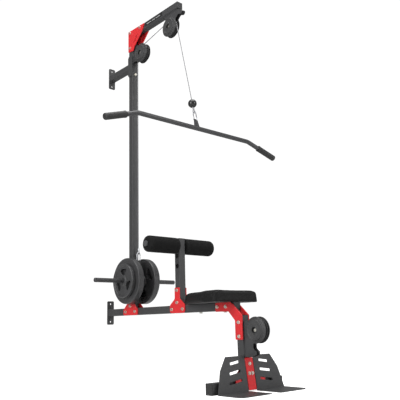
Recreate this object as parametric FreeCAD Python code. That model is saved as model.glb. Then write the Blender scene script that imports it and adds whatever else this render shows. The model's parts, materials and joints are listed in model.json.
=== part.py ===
# Wall-braced lat pulldown machine with a plate-loaded carriage.
# Frame: +Z up, floor at z = 0, X is the width (the machine is symmetric about x = 0),
# the wall is on the +Y side and the user sits on the -Y side.
# Most places are given as (out, z): the distance out from the wall, and the height.
import FreeCAD, Part
import math
import os
from FreeCAD import Vector

os.makedirs("parts", exist_ok=True)

# ---- driving dimensions, millimetres ----
DEPTH = 1308.0            # wall face to the front edge of the foot plates
TUBE = 40.0               # outer size of every square frame tube
TUBE_WALL = 2.0
TUBE_ROUND = 3.0          # outer corner radius of the tubes
HEIGHT = 2138.0           # top of the arm
SOLE = 10.0               # rubber sole under the cross foot
BEAM_Z = 380.0            # axis of the base beam
STRUT_Z = 1900.0          # axis of the upper wall strut
MAST_OUT = 247.0
POST_OUT = 671.0
LEG_OUT = 1117.0
ARM_END = 707.0
BEAM_END = 1085.0
LEG_TOP = 335.0
CROSS_OUT = 1124.0
CROSS_HALF = 231.0
WALL_PLATE = (46.0, 140.0, 6.0)      # width, height, thickness
WALL_HOLE_SPACING = 106.0
WALL_HOLE_R = 5.0
PLATE = 5.0               # thickness of the bolted bracket plates
BOLT_R = 4.0
FIT = 0.05                # radial running clearance
GAP = 0.3                 # gap between touching faces of different bodies

REAR_PULLEY = (345.0, 1957.0)
FRONT_PULLEY = (628.0, 2013.0)
LOW_PULLEY = (1212.0, 269.0)
PITCH_R = 50.0            # radius of the cable's centre line on a pulley
CABLE_R = 2.5
WHEEL_R = 55.0
WHEEL_HALF = 9.0
SIDE_PLATE = (9.5, 13.5)  # inner and outer face of a pulley bracket plate
COVER_R = 60.0
COVER_OUT = 27.0
AXLE_R = 5.0
BEARING_R = 13.0
BEARING_HALF = 4.0

DROP_ANGLE = 13.0         # the bar's cable leans this far forward of vertical
BALL_AT = 554.5           # along the bar's cable, from where it leaves the front pulley
BALL_R = 24.0
BAR_AT = 711.0
BAR_R = 12.5
BAR_STRAIGHT = 390.0      # half length of the straight middle
BAR_END = 590.0           # half width to the tube's ends
BAR_END_DROP = 71.0
BAR_BEND_R = 70.0
GRIP_R = 17.0
GRIP_START = 470.0

PEG_OUT = 272.0
PEG_Z = 553.0
PEG_R = 12.5
PEG_END = 281.0
PEG_GROOVE = (104.0, 106.0)   # shallow ring that marks where the free length of a peg begins
SLEEVE = 52.0
SLEEVE_WALL = 3.5
SLEEVE_Z = (470.0, 640.0)
CHEEK_X = (26.0, 31.0)
LUG_Z = 658.0
COLLAR_END = 37.0
BIG_R = 131.0
BIG_X = (37.0, 74.0)
SMALL_R = 98.0
SMALL_X = (72.0, 98.0)

ROLLER_Z = 712.0
ROLLER_R = 43.0
ROLLER_X = (24.0, 221.0)
PIPE_R = 12.5
PIPE_HALF = 228.0
HOLE_PITCH = 53.0
POST_TOP = 750.0

BOARD_Z = (400.0, 410.0)
PAD_LOW = 401.0
PAD_TOP = 450.0
SEAT_REAR = 755.0
SEAT_FRONT = 1098.0
SEAT_HALF = 150.0
SEAT_NOSE = 52.0
SEAT_HIP = 1012.0         # where the seat reaches its full width

FOOT_TOP = 157.0
FOOT_BEND = 1168.0
FOOT_LEAN = 8.0
FOOT_SHEET = 4.0
FOOT_INNER = 28.0
FOOT_OUTER = 216.0

HALF = TUBE / 2.0
WALL_Y = DEPTH / 2.0
BEAM_TOP = BEAM_Z + HALF
ARM_Z = HEIGHT - HALF
LEAN = math.radians(DROP_ANGLE)
X_AXIS = Vector(1, 0, 0)


# ---- helpers ----
def at(x, out, z):
    """A point from its side offset, its distance out from the wall and its height."""
    return Vector(x, WALL_Y - out, z)


def box(x0, x1, out0, out1, z0, z1):
    corner = at(x0, out1, z0)
    return Part.makeBox(x1 - x0, out1 - out0, z1 - z0, corner)


def rod(start, end, radius):
    return Part.makeCylinder(radius, (end - start).Length, start, end - start)


def rod_x(x0, x1, out, z, radius):
    return rod(at(x0, out, z), at(x1, out, z), radius)


def ring_x(x0, x1, out, z, outer, inner):
    return rod_x(x0, x1, out, z, outer).cut(rod_x(x0, x1, out, z, inner))


def square_tube(x0, x1, out0, out1, z0, z1, along, wall=TUBE_WALL):
    """Hollow square tube, open at both ends, with rounded outer corners."""
    outer = box(x0, x1, out0, out1, z0, z1)
    keep = [e for e in outer.Edges if abs(e.tangentAt(e.FirstParameter).dot(along)) > 0.99]
    outer = outer.makeFillet(TUBE_ROUND, keep)
    step = Vector(wall, wall, wall) - along * wall
    low = outer.BoundBox
    size = [low.XLength - 2 * step.x, low.YLength - 2 * step.y, low.ZLength - 2 * step.z]
    bore = Part.makeBox(*size, Vector(low.XMin, low.YMin, low.ZMin) + step)
    return outer.cut(bore)


def corner_arc(before, corner, after, radius):
    """Tangent points and the middle of the arc that rounds one corner."""
    to_before = (before - corner).normalize()
    to_after = (after - corner).normalize()
    half = to_before.getAngle(to_after) / 2.0
    reach = radius / math.tan(half)
    bisector = (to_before + to_after).normalize()
    middle = corner + bisector * (radius / math.sin(half) - radius)
    return corner + to_before * reach, middle, corner + to_after * reach


def rounded_loop(points, radii):
    """Closed wire through the corners, each rounded by its own radius (0 stays sharp)."""
    count = len(points)
    edges = []
    arcs = []
    for i, point in enumerate(points):
        if radii[i] > 0:
            arcs.append(corner_arc(points[i - 1], point, points[(i + 1) % count], radii[i]))
        else:
            arcs.append((point, None, point))
    for i, (start, middle, end) in enumerate(arcs):
        if middle is not None:
            edges.append(Part.Arc(start, middle, end).toShape())
        following = arcs[(i + 1) % count][0]
        if (following - end).Length > 1e-6:
            edges.append(Part.LineSegment(end, following).toShape())
    return Part.Wire(edges)


def side_plate(outline, x0, x1, radius=0.0):
    """Flat plate across X from an outline of (out, z) corners."""
    points = [at(x0, out, z) for out, z in outline]
    radii = radius if isinstance(radius, list) else [radius] * len(points)
    face = Part.Face(rounded_loop(points, radii))
    return face.extrude(Vector(x1 - x0, 0, 0))


def both_sides(shape):
    return [shape, shape.mirror(Vector(0, 0, 0), X_AXIS)]


def rounded_path(points, radius):
    """Open wire of straight runs joined by tangent arcs."""
    edges = []
    last = points[0]
    for i in range(1, len(points) - 1):
        start, middle, end = corner_arc(points[i - 1], points[i], points[i + 1], radius)
        edges.append(Part.LineSegment(last, start).toShape())
        edges.append(Part.Arc(start, middle, end).toShape())
        last = end
    edges.append(Part.LineSegment(last, points[-1]).toShape())
    return Part.Wire(edges)


def pipe(path, radius):
    edge = path.OrderedEdges[0]
    start = edge.valueAt(edge.FirstParameter)
    direction = edge.tangentAt(edge.FirstParameter)
    if (path.OrderedVertexes[0].Point - start).Length > 1e-6:
        start = edge.valueAt(edge.LastParameter)
        direction = edge.tangentAt(edge.LastParameter) * -1
    circle = Part.Wire(Part.makeCircle(radius, start, direction))
    return path.makePipeShell([circle], True, False)


def drill(shape, places, x_reach, radius=BOLT_R + FIT):
    for out, z in places:
        shape = shape.cut(rod_x(-x_reach, x_reach, out, z, radius))
    return shape


def hexagon(start, direction, across, height):
    radius = across / math.sqrt(3)
    side = Vector(0, 0, 1) if abs(direction.z) < 0.9 else Vector(1, 0, 0)
    side = direction.cross(side).normalize()
    points = []
    for i in range(6):
        turn = FreeCAD.Rotation(direction, 60.0 * i)
        points.append(start + turn.multVec(side) * radius)
    face = Part.Face(Part.makePolygon(points + [points[0]]))
    return face.extrude(direction * height)


def through_bolt(start, direction, grip, radius=BOLT_R):
    """Hex bolt with washers and a nut that clamp a stack of the given thickness."""
    head = hexagon(start - direction * 1.5, direction * -1, radius * 3.2, radius * 1.3)
    washer = Part.makeCylinder(radius * 2.1, 1.5, start - direction * 1.5, direction)
    shank = Part.makeCylinder(radius, grip + 12.0, start, direction)
    end = start + direction * grip
    nut = hexagon(end + direction * 1.5, direction, radius * 3.2, radius * 1.6)
    far_washer = Part.makeCylinder(radius * 2.1, 1.5, end, direction)
    return head.multiFuse([washer, shank, nut, far_washer]).removeSplitter()


def save(name, shapes):
    shapes = shapes if isinstance(shapes, list) else [shapes]
    for shape in shapes:
        if not shape.isValid() or shape.Volume <= 0:
            print("BAD", name)
    whole = shapes[0] if len(shapes) == 1 else Part.makeCompound(shapes)
    whole.exportStep("parts/%s.step" % name)
    print("%-26s %2d solids %9.1f cm3" % (name, len(whole.Solids), whole.Volume / 1000.0))


# ---- bolt places, (out, z) ----
GUSSET_BOLTS = [(MAST_OUT, ARM_Z + 4), (350.0, ARM_Z + 4), (MAST_OUT, 2020.0)]
MAST_BOLTS = [(MAST_OUT - 46, BEAM_Z), (MAST_OUT + 46, BEAM_Z), (MAST_OUT, 412.0)]
POST_BOLTS = [(POST_OUT - 44, BEAM_Z), (POST_OUT + 44, BEAM_Z), (POST_OUT, 414.0), (POST_OUT, 478.0)]
ELBOW_BOLTS = [(976.0, BEAM_Z), (1035.0, BEAM_Z), (LEG_OUT, 305.0), (LEG_OUT, 241.0)]
STRUT_BOLT_Z = (1841.0, 1990.0)
SEAT_BOLTS = [829.0, 1005.0]
FOOT_BOLTS = [(0.0, 120.0), (-10.0, 78.0), (10.0, 78.0)]     # (x, height) on the foot strip
PLATE_FACE = HALF + PLATE


# ---- frame tubes ----
def frame_tubes():
    mast = square_tube(-HALF, HALF, MAST_OUT - HALF, MAST_OUT + HALF, BEAM_TOP, ARM_Z - HALF, Vector(0, 0, 1))
    mast = drill(mast, [GUSSET_BOLTS[2], MAST_BOLTS[2]], PLATE_FACE)
    for z in STRUT_BOLT_Z:
        mast = mast.cut(rod(at(0, MAST_OUT - 2 * HALF, z), at(0, MAST_OUT + 2 * HALF, z), BOLT_R + FIT))
    save("mast", mast)

    arm = square_tube(-HALF, HALF, MAST_OUT - HALF, ARM_END, ARM_Z - HALF, HEIGHT, Vector(0, 1, 0))
    save("top_arm", drill(arm, GUSSET_BOLTS[:2], PLATE_FACE))

    beam = square_tube(-HALF, HALF, WALL_PLATE[2], BEAM_END, BEAM_Z - HALF, BEAM_TOP, Vector(0, 1, 0))
    beam = drill(beam, MAST_BOLTS[:2] + POST_BOLTS[:2] + ELBOW_BOLTS[:2], PLATE_FACE)
    for out in SEAT_BOLTS:
        beam = beam.cut(rod(at(0, out, BEAM_Z - TUBE), at(0, out, BEAM_Z + TUBE), BOLT_R + FIT))
    save("base_beam", beam)

    post = square_tube(-HALF, HALF, POST_OUT - HALF, POST_OUT + HALF, BEAM_TOP, POST_TOP, Vector(0, 0, 1))
    post = drill(post, POST_BOLTS[2:], PLATE_FACE)
    pipe_holes = [(POST_OUT, ROLLER_Z - i * HOLE_PITCH) for i in range(3)]
    save("roller_post", drill(post, pipe_holes, PLATE_FACE, PIPE_R + FIT))

    leg = square_tube(-HALF, HALF, LEG_OUT - HALF, LEG_OUT + HALF, SOLE + TUBE, LEG_TOP, Vector(0, 0, 1))
    leg = drill(leg, ELBOW_BOLTS[2:], PLATE_FACE)
    for x, height in FOOT_BOLTS:
        leg = leg.cut(foot_bolt_hole(x, height))
    save("front_leg", leg)

    cross = square_tube(-CROSS_HALF + 5, CROSS_HALF - 5, CROSS_OUT - HALF, CROSS_OUT + HALF,
                        SOLE, SOLE + TUBE, X_AXIS)
    save("cross_foot", cross)

    strut = square_tube(-HALF, HALF, WALL_PLATE[2], MAST_OUT - HALF, STRUT_Z - HALF, STRUT_Z + HALF,
                        Vector(0, 1, 0))
    save("wall_strut", strut)


def end_plug(x0, x1, out0, out1, z0, z1, inward):
    """Plastic cap: a 3 mm face on the tube's end and a plug inside it."""
    face = box(x0, x1, out0, out1, z0, z1)
    wall = TUBE_WALL + FIT
    low = face.BoundBox
    shift = inward * 15.0
    size = []
    corner = []
    for axis, start, length in (("x", low.XMin, low.XLength), ("y", low.YMin, low.YLength),
                                ("z", low.ZMin, low.ZLength)):
        move = getattr(shift, axis)
        if abs(move) > 0:
            size.append(length + abs(move))
            corner.append(start + min(move, 0))
        else:
            size.append(length - 2 * wall)
            corner.append(start + wall)
    return face.fuse(Part.makeBox(*size, Vector(*corner))).removeSplitter()


def tube_caps():
    cap = 3.0
    front = end_plug(-HALF, HALF, ARM_END, ARM_END + cap, ARM_Z - HALF, HEIGHT, Vector(0, 1, 0))
    rear_face = MAST_OUT - HALF
    rear = end_plug(-HALF, HALF, rear_face - cap, rear_face, ARM_Z - HALF, HEIGHT, Vector(0, -1, 0))
    beam = end_plug(-HALF, HALF, BEAM_END, BEAM_END + cap, BEAM_Z - HALF, BEAM_TOP, Vector(0, 1, 0))
    down = Vector(0, 0, -1)
    post = end_plug(-HALF, HALF, POST_OUT - HALF, POST_OUT + HALF, POST_TOP, POST_TOP + cap, down)
    leg = end_plug(-HALF, HALF, LEG_OUT - HALF, LEG_OUT + HALF, LEG_TOP, LEG_TOP + cap, down)
    save("tube_end_caps", [front, rear, beam, post, leg])
    low, high = CROSS_OUT - HALF, CROSS_OUT + HALF
    plug = end_plug(CROSS_HALF - 5, CROSS_HALF, low, high, SOLE, SOLE + TUBE, Vector(-1, 0, 0))
    sole = box(CROSS_HALF - 50, CROSS_HALF, low, high, 0, SOLE)
    save("cross_foot_shoes", both_sides(plug.fuse(sole).removeSplitter()))


# ---- wall side ----
def wall_parts():
    width, height, thick = WALL_PLATE
    plates = []
    for z in (STRUT_Z, BEAM_Z):
        plate = box(-width / 2, width / 2, 0, thick, z - height / 2, z + height / 2)
        corners = [e for e in plate.Edges if abs(e.tangentAt(0).y) > 0.99]
        plate = plate.makeFillet(8.0, corners)
        for side in (-1, 1):
            hole_z = z + side * WALL_HOLE_SPACING / 2
            plate = plate.cut(rod(at(0, -1, hole_z), at(0, thick + 1, hole_z), WALL_HOLE_R))
        plates.append(plate)
    save("wall_plates", plates)
    low, high = STRUT_Z - 71, STRUT_Z + 68
    rear, front = MAST_OUT - HALF - 5, MAST_OUT + HALF
    cheek = side_plate([(rear, low + 12), (rear, high - 12), (rear + 9, high), (front - 9, high),
                        (front, high - 12), (front, low + 12), (front - 9, low), (rear + 9, low)],
                       HALF, HALF + 4)
    save("strut_cheek_plates", both_sides(cheek))
    bolts = []
    for z in STRUT_BOLT_Z:
        bolts.append(through_bolt(at(0, MAST_OUT + HALF, z), Vector(0, 1, 0), TUBE))
    save("mast_front_bolts", bolts)


# ---- bolted brackets ----
def brackets():
    gusset = side_plate([(MAST_OUT - HALF, HEIGHT), (398.0, HEIGHT - 4), (379.0, ARM_Z - HALF), (292.0, 2016.0),
                         (280.0, 1992.0), (MAST_OUT - HALF, 1998.0)], HALF, PLATE_FACE, [4, 4, 12, 20, 4, 4])
    gusset = drill(gusset, GUSSET_BOLTS, PLATE_FACE + 1)
    for step in range(3):
        out, z = 318.0 - 12.0 * step, 2083.0 - 14.0 * step
        slot = side_plate([(out - 13, z - 6), (out + 11, z + 4), (out + 13, z), (out - 11, z - 10)],
                          HALF - 1, PLATE_FACE + 1, 1.5)
        gusset = gusset.cut(slot)
    save("top_gusset_plates", both_sides(gusset))

    low = BEAM_Z - HALF
    mast_plate = side_plate([(MAST_OUT - 70, low), (MAST_OUT - 70, 392.0), (MAST_OUT - 34, 425.0),
                             (MAST_OUT + 34, 425.0), (MAST_OUT + 70, 392.0), (MAST_OUT + 70, low)],
                            HALF, PLATE_FACE, [10, 16, 16, 16, 16, 10])
    save("mast_base_plates", both_sides(drill(mast_plate, MAST_BOLTS, PLATE_FACE + 1)))

    post_plate = side_plate([(POST_OUT - 61, low), (POST_OUT - 61, 402.0), (POST_OUT - 20, 434.0),
                             (POST_OUT - 20, 492.0), (POST_OUT + 20, 492.0), (POST_OUT + 20, 434.0),
                             (POST_OUT + 61, 402.0), (POST_OUT + 61, low)],
                            HALF, PLATE_FACE, [14, 18, 14, 5, 5, 14, 18, 14])
    save("post_base_plates", both_sides(drill(post_plate, POST_BOLTS, PLATE_FACE + 1)))

    elbow = side_plate([(962.0, BEAM_TOP), (1068.0, BEAM_TOP), (1139.0, 338.0), (1139.0, 226.0),
                        (1092.0, 226.0), (1092.0, 314.0), (1050.0, BEAM_Z - HALF - 3),
                        (962.0, BEAM_Z - HALF - 3)], HALF, PLATE_FACE, [4, 6, 6, 4, 4, 6, 6, 4])
    save("elbow_plates", both_sides(drill(elbow, ELBOW_BOLTS, PLATE_FACE + 1)))
    places = GUSSET_BOLTS + MAST_BOLTS + POST_BOLTS + ELBOW_BOLTS
    save("frame_bolts", [through_bolt(at(-PLATE_FACE, out, z), X_AXIS, 2 * PLATE_FACE) for out, z in places])


# ---- pulleys ----
def pulley_bracket(name, outline, radii, hub):
    plate = side_plate(outline, SIDE_PLATE[0], SIDE_PLATE[1], radii)
    plate = drill(plate, [hub], COVER_OUT, AXLE_R + FIT)
    save(name, both_sides(plate))


def pulley_brackets():
    front = MAST_OUT + HALF
    pulley_bracket("rear_pulley_bracket",
                   [(front, 1920.0), (front, 2030.0), (300.0, 2026.0), (372.0, 1985.0),
                    (376.0, 1938.0), (330.0, 1922.0)], [0, 0, 12, 20, 20, 12], REAR_PULLEY)
    under = ARM_Z - HALF
    pulley_bracket("front_pulley_bracket",
                   [(588.0, under), (700.0, under), (742.0, 2074.0), (750.0, 2036.0), (708.0, 2064.0),
                    (684.0, 2044.0), (662.0, 1986.0), (600.0, 1986.0)],
                   [0, 0, 10, 14, 16, 16, 24, 24], FRONT_PULLEY)
    face = LEG_OUT + HALF
    pulley_bracket("low_pulley_bracket",
                   [(face, 149.0), (face, 312.0), (1196.0, 312.0), (1244.0, 296.0), (1244.0, 246.0),
                    (1214.0, 226.0), (1190.0, 212.0), (1190.0, 188.0), (1208.0, 174.0), (1208.0, 158.0), (1176.0, 149.0)],
                   [0, 0, 16, 20, 20, 14, 12, 10, 4, 8, 8], LOW_PULLEY)


def wheel(hub):
    """Grooved cable wheel, bored for its bearing."""
    groove_bottom = PITCH_R - CABLE_R - GAP
    rim_half = 6.0
    profile = [(-WHEEL_HALF, BEARING_R), (-WHEEL_HALF, 20.0), (-7.0, 21.0), (-7.0, 38.0), (-WHEEL_HALF, 40.0),
               (-WHEEL_HALF, WHEEL_R - 1), (-WHEEL_HALF + 1, WHEEL_R), (-rim_half, WHEEL_R),
               (-CABLE_R, groove_bottom)]
    profile = profile + [(-x, r) for x, r in reversed(profile)]
    points = [at(x, hub[0], hub[1] + r) for x, r in profile]
    face = Part.Face(Part.makePolygon(points + [points[0]]))
    return face.revolve(at(0, *hub), X_AXIS, 360)


def bearing(hub):
    """Sealed ball bearing with an extended inner race that spaces the bracket plates."""
    profile = [(-WHEEL_HALF - 0.2, AXLE_R + FIT), (-WHEEL_HALF - 0.2, 7.5), (-BEARING_HALF, 7.5),
               (-BEARING_HALF, BEARING_R)]
    profile = profile + [(-x, r) for x, r in reversed(profile)]
    points = [at(x, hub[0], hub[1] + r) for x, r in profile]
    face = Part.Face(Part.makePolygon(points + [points[0]]))
    return face.revolve(at(0, *hub), X_AXIS, 360)


def cover(hub):
    """Round guard outside a bracket plate, with raised rings and a recess for the bolt head."""
    inner = SIDE_PLATE[1]
    face = COVER_OUT
    profile = [(inner, AXLE_R + FIT), (inner + 1.5, AXLE_R + FIT), (inner + 1.5, 14.5), (face - 1, 14.5),
               (face, 15.5), (face, 19.0), (face - 1.5, 20.5), (face - 1.5, 40.0), (face, 41.5), (face, 44.5),
               (face - 1.5, 46.5), (face - 5, 47.0), (face - 5.5, 51.0), (face - 8, 52.0), (face - 8.5, 55.5),
               (face - 10.5, 56.5), (face - 11, COVER_R - 0.5), (face - 12, COVER_R), (inner, COVER_R)]
    points = [at(x, hub[0], hub[1] + r) for x, r in profile]
    face = Part.Face(Part.makePolygon(points + [points[0]]))
    return face.revolve(at(0, *hub), X_AXIS, 360)


def axle(hub):
    seat_x = SIDE_PLATE[1] + 1.5
    shank = rod_x(-seat_x, seat_x + 6.5, hub[0], hub[1], AXLE_R)
    head = hexagon(at(-seat_x, *hub), Vector(-1, 0, 0), 13.0, 3.5)
    nut = hexagon(at(seat_x, *hub), X_AXIS, 13.0, 5.0)
    return shank.multiFuse([head, nut]).removeSplitter()


def pulleys():
    covers = []
    axles = []
    for name, hub in (("rear", REAR_PULLEY), ("front", FRONT_PULLEY), ("low", LOW_PULLEY)):
        save(name + "_pulley_wheel", wheel(hub))
        save(name + "_pulley_bearing", bearing(hub))
        covers = covers + both_sides(cover(hub))
        axles.append(axle(hub))
    save("pulley_covers", covers)
    save("pulley_axles", axles)


# ---- hooks and cable ----
HOOK_HALF = 28.0          # centre to the rod's centre line at the top and bottom
HOOK_ROD = 3.0
HOOK_BEND = 10.0
HOOK_HOLE_R = 5.5
HOOK_LIFT = 1.5           # the hook's rod pulls on the upper side of its hole
EYE_R = 9.0
GATE_LOW = -14.0
GATE_HIGH = 14.0


def hook_and_gate():
    """Snap hook in its own frame: centred at 0, long axis Z, ring in the XZ plane, gate at +X."""
    side = HOOK_BEND
    straight = HOOK_HALF - HOOK_BEND
    upper = Part.Arc(Vector(side, 0, straight), Vector(0, 0, HOOK_HALF), Vector(-side, 0, straight))
    lower = Part.Arc(Vector(-side, 0, -straight), Vector(0, 0, -HOOK_HALF), Vector(side, 0, -straight))
    wire = Part.Wire([
        Part.LineSegment(Vector(side, 0, GATE_HIGH + 0.5), Vector(side, 0, straight)).toShape(),
        upper.toShape(),
        Part.LineSegment(Vector(-side, 0, straight), Vector(-side, 0, -straight)).toShape(),
        lower.toShape(),
        Part.LineSegment(Vector(side, 0, -straight), Vector(side, 0, GATE_LOW - 3)).toShape()])
    body = pipe(wire, HOOK_ROD)
    ear = Part.makeBox(6, 1.6, 7, Vector(side - 3, -HOOK_ROD, GATE_LOW - 4))
    far_ear = Part.makeBox(6, 1.6, 7, Vector(side - 3, HOOK_ROD - 1.6, GATE_LOW - 4))
    pin = Part.makeCylinder(0.8, 2 * HOOK_ROD, Vector(side, -HOOK_ROD, GATE_LOW), Vector(0, 1, 0))
    gate = Part.makeCylinder(2.4, GATE_HIGH - GATE_LOW - 5.2, Vector(side, 0, GATE_LOW + 5.2))
    tongue = Part.makeBox(3.6, 2.4, 8, Vector(side - 1.8, -1.2, GATE_LOW - 1.8))
    bore = Part.makeCylinder(0.8 + FIT, 8, Vector(side, -4, GATE_LOW), Vector(0, 1, 0))
    body = body.cut(Part.makeBox(8, 8, 6, Vector(side - 4, -4, GATE_LOW - 3.2)))
    body = body.multiFuse([ear, far_ear, pin]).removeSplitter()
    return body, gate.fuse(tongue).cut(bore).removeSplitter()


def eye_and_ferrule(length):
    """Cable loop in the YZ plane round the hook's top, with its crimped sleeve above."""
    centre = HOOK_HALF + EYE_R - CABLE_R - HOOK_ROD - 1.0
    loop = Part.makeTorus(EYE_R, CABLE_R, Vector(0, 0, centre), X_AXIS)
    sleeve = Part.makeCylinder(5.0, length, Vector(0, 0, centre + EYE_R - 1))
    return loop.fuse(sleeve).removeSplitter(), centre + EYE_R - 1 + length


def drop_point(along):
    """Point on the bar's leaning cable, measured from where it leaves the front pulley."""
    start_out = FRONT_PULLEY[0] + PITCH_R * math.cos(LEAN)
    start_z = FRONT_PULLEY[1] + PITCH_R * math.sin(LEAN)
    return at(0, start_out + along * math.sin(LEAN), start_z - along * math.cos(LEAN))


def hang(shape, along, turn=0.0):
    """Place a shape made about the Z axis onto the leaning cable."""
    placed = shape.copy()
    placed.rotate(Vector(0, 0, 0), Vector(0, 0, 1), turn)
    placed.rotate(Vector(0, 0, 0), X_AXIS, -DROP_ANGLE)
    placed.translate(drop_point(along))
    return placed


def lifted(shape, out, z):
    placed = shape.copy()
    placed.translate(at(0, out, z))
    return placed


CABLE_OUT = REAR_PULLEY[0] - PITCH_R
CARRIAGE_HOOK_Z = LUG_Z + HOOK_LIFT + HOOK_HALF
BAR_EYE_AT = BAR_AT - 46.0
BAR_HOOK_AT = BAR_EYE_AT - HOOK_LIFT - HOOK_HALF


def cables():
    body, gate = hook_and_gate()
    eye, sleeve_top = eye_and_ferrule(18.0)
    save("carriage_snap_hook", lifted(body, CABLE_OUT, CARRIAGE_HOOK_Z))
    save("carriage_hook_gate", lifted(gate, CABLE_OUT, CARRIAGE_HOOK_Z))
    save("carriage_cable_eye", lifted(eye, CABLE_OUT, CARRIAGE_HOOK_Z))
    run_start = at(0, CABLE_OUT, CARRIAGE_HOOK_Z + sleeve_top)
    run_end = at(0, CABLE_OUT, REAR_PULLEY[1])
    save("carriage_cable", rod(run_start, run_end, CABLE_R))

    save("bar_snap_hook", hang(body, BAR_HOOK_AT, 90))
    save("bar_hook_gate", hang(gate, BAR_HOOK_AT, 90))
    save("bar_cable_eye", hang(eye, BAR_HOOK_AT, 90))
    ball = Part.makeSphere(BALL_R).cut(Part.makeCylinder(CABLE_R, 3 * BALL_R, Vector(0, 0, -1.5 * BALL_R)))
    save("stopper_ball", hang(ball, BALL_AT))
    save("bar_cable", rod(drop_point(0), drop_point(BAR_HOOK_AT - sleeve_top), CABLE_R))

    slope = math.atan2(FRONT_PULLEY[1] - REAR_PULLEY[1], FRONT_PULLEY[0] - REAR_PULLEY[0])

    def on_pulley(hub, angle):
        return at(0, hub[0] + PITCH_R * math.cos(angle), hub[1] + PITCH_R * math.sin(angle))

    top = math.pi / 2 + slope
    wire = Part.Wire([
        Part.Arc(on_pulley(REAR_PULLEY, math.pi), on_pulley(REAR_PULLEY, (math.pi + top) / 2),
                 on_pulley(REAR_PULLEY, top)).toShape(),
        Part.LineSegment(on_pulley(REAR_PULLEY, top), on_pulley(FRONT_PULLEY, top)).toShape(),
        Part.Arc(on_pulley(FRONT_PULLEY, top), on_pulley(FRONT_PULLEY, (top + LEAN) / 2),
                 on_pulley(FRONT_PULLEY, LEAN)).toShape()])
    over = pipe(wire, CABLE_R)
    ratio = over.Volume / (math.pi * CABLE_R ** 2 * wire.Length)
    print("cable over pulleys: length %.1f mm, bend radius %.1f mm, volume ratio %.4f"
          % (wire.Length, PITCH_R, ratio))
    total = wire.Length + (run_end - run_start).Length + BAR_HOOK_AT - sleeve_top
    print("whole cable between its two ferrules: %.1f mm" % total)
    save("pulley_cable", over)


# ---- lat bar ----
def lat_bar():
    ends = [Vector(-BAR_END, 0, -BAR_END_DROP), Vector(-BAR_STRAIGHT, 0, 0),
            Vector(BAR_STRAIGHT, 0, 0), Vector(BAR_END, 0, -BAR_END_DROP)]
    save("lat_bar", hang(pipe(rounded_path(ends, BAR_BEND_R), BAR_R), BAR_AT))
    slope = (ends[3] - ends[2]).normalize()
    start = ends[2] + slope * ((GRIP_START - BAR_STRAIGHT) / slope.x)
    finish = ends[3] + slope * 5.0
    grip = rod(start, finish, GRIP_R).cut(rod(start, ends[3], BAR_R + FIT))
    grip = grip.fuse(rod(start, start + slope * 6.0, GRIP_R + 2).cut(rod(start, finish, GRIP_R - 1)))
    save("bar_grips", [hang(shape, BAR_AT) for shape in both_sides(grip.removeSplitter())])

    base_half, top_half, above_hole, thick = 19.0, 10.0, 10.0, 6.0
    rise = BAR_AT - BAR_EYE_AT
    corners = [Vector(-base_half, -thick / 2, 0), Vector(base_half, -thick / 2, 0),
               Vector(top_half, -thick / 2, rise + above_hole), Vector(-top_half, -thick / 2, rise + above_hole)]
    tab = Part.Face(rounded_loop(corners, [0, 0, 6, 6])).extrude(Vector(0, thick, 0))
    hole = Part.makeCylinder(HOOK_HOLE_R, 20, Vector(0, -10, rise), Vector(0, 1, 0))
    bar_space = rod(Vector(-50, 0, 0), Vector(50, 0, 0), BAR_R)
    save("bar_eye_plate", hang(tab.cut(hole).cut(bar_space), BAR_AT))


# ---- carriage and weights ----
def square_sleeve(outer, wall, z0, z1):
    half = outer / 2.0
    solid = box(-half, half, MAST_OUT - half, MAST_OUT + half, z0, z1)
    inner = half - wall
    return solid.cut(box(-inner, inner, MAST_OUT - inner, MAST_OUT + inner, z0, z1))


def disc_windows(x0, x1, inner_r, outer_r, sweep, first=90.0):
    """Three grip windows between two radii, narrow toward the hub."""
    windows = []
    for i in range(3):
        middle = first + 120.0 * i
        corners = []
        for angle, radius in ((middle - sweep / 4, inner_r), (middle + sweep / 4, inner_r),
                              (middle + sweep / 2, outer_r), (middle - sweep / 2, outer_r)):
            turn = math.radians(angle)
            corners.append((PEG_OUT + radius * math.cos(turn), PEG_Z + radius * math.sin(turn)))
        windows.append(side_plate(corners, x0 - 1, x1 + 1, [5, 5, 10, 10]))
    return windows


def weight_disc(profile, windows):
    points = [at(x, PEG_OUT, PEG_Z + r) for x, r in profile]
    face = Part.Face(Part.makePolygon(points + [points[0]]))
    disc = face.revolve(at(0, PEG_OUT, PEG_Z), X_AXIS, 360)
    return disc.cut(Part.makeCompound(windows)).removeSplitter()


def weights():
    bore = PEG_R + FIT
    inner, outer = BIG_X
    web_in, web_out = inner + 8, SMALL_X[0]
    rim = BIG_R - 13
    big = [(inner, bore), (inner, 30.0), (web_in, 34.0), (web_in, rim - 5), (inner + 1, rim), (inner, BIG_R - 3),
           (inner + 3, BIG_R), (outer - 3, BIG_R), (outer, BIG_R - 3), (outer - 1, rim), (web_out, rim - 5),
           (web_out, bore)]
    save("large_weight_plates", both_sides(weight_disc(big, disc_windows(inner, outer, 50.0, 104.0, 62.0, 30.0))))
    inner, outer = SMALL_X
    rim = SMALL_R - 12
    small = [(inner, bore), (inner, SMALL_R - 3), (inner + 3, SMALL_R), (outer - 3, SMALL_R), (outer, SMALL_R - 3),
             (outer, rim), (outer - 6, rim - 4), (outer - 6, 30.0), (outer - 1, 27.0), (outer - 1, bore)]
    save("small_weight_plates", both_sides(weight_disc(small, disc_windows(inner, outer, 35.0, 80.0, 66.0))))


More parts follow.
